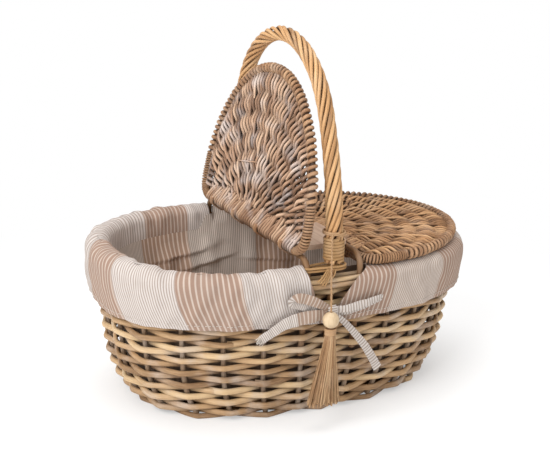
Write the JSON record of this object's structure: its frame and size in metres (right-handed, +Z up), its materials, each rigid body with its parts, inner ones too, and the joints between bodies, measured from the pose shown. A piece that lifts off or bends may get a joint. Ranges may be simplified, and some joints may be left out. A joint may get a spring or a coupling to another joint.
{
  "type": "lidded wicker basket",
  "caption": "Oval willow basket with two hinged half lids, a roped arch handle, a striped cloth liner turned over the rim, a bow tie and a bead tassel.",
  "frame": {"origin": "on the ground under the middle of the base", "axes": "+X along the basket's length towards the closed lid, front (tassel and bow) towards -Y, +Z up"},
  "size_m": [0.4008, 0.2918, 0.369],
  "materials": {
    "willow": "washed, matt",
    "lid_willow": "weathered, matt",
    "handle_willow": "satin",
    "cane": "satin",
    "bridge_wood": "sanded, matt",
    "bead_wood": "bare, satin",
    "liner_cloth": "striped plain weave",
    "jute": "rough yarn"
  },
  "bodies": {
    "basket": {"back_handle_collar": "cane", "back_post_lashing": "cane", "back_tie_bow": "liner_cloth", "base_cross_sticks": "willow", "base_long_sticks": "willow", "base_over_weave": "willow", "base_under_weave": "willow", "bridge_board": "bridge_wood", "front_handle_collar": "cane", "front_post_lashing": "cane", "front_tie_bow": "liner_cloth", "handle_core": "handle_willow", "handle_strands": "handle_willow", "left_hinge_bow": "willow", "liner_bag": "liner_cloth", "liner_cuff_left": "liner_cloth", "liner_cuff_right": "liner_cloth", "lower_side_weave": "willow", "right_hinge_bow": "willow", "rim_border": "willow", "side_stakes": "willow", "tassel_hitch": "jute", "upper_side_weave": "willow"},
    "left_lid": {"left_lid_frame": "lid_willow", "left_lid_hinge_loops": "cane", "left_lid_ribs": "lid_willow", "left_lid_weave": "lid_willow"},
    "right_lid": {"right_lid_frame": "lid_willow", "right_lid_hinge_loops": "cane", "right_lid_ribs": "lid_willow", "right_lid_weave": "lid_willow"},
    "tassel": {"tassel_bead": "bead_wood", "tassel_cord": "jute", "tassel_neck": "jute", "tassel_skirt": "jute"}
  },
  "joints": [
    {"name": "left_lid_hinge", "type": "hinge", "parent": "basket", "child": "left_lid", "pos_m": [-0.0286, 0, 0.165], "axis": [0, 1, 0], "range_deg": [-96.8, 0]},
    {"name": "right_lid_hinge", "type": "hinge", "parent": "basket", "child": "right_lid", "pos_m": [0.0286, 0, 0.165], "axis": [0, -1, 0], "range_deg": [0, 100]},
    {"name": "tassel_swing", "type": "hinge", "parent": "basket", "child": "tassel", "pos_m": [-0.0076, -0.1292, 0.19], "axis": [-1, 0, 0], "range_deg": [0, 60]}
  ]
}
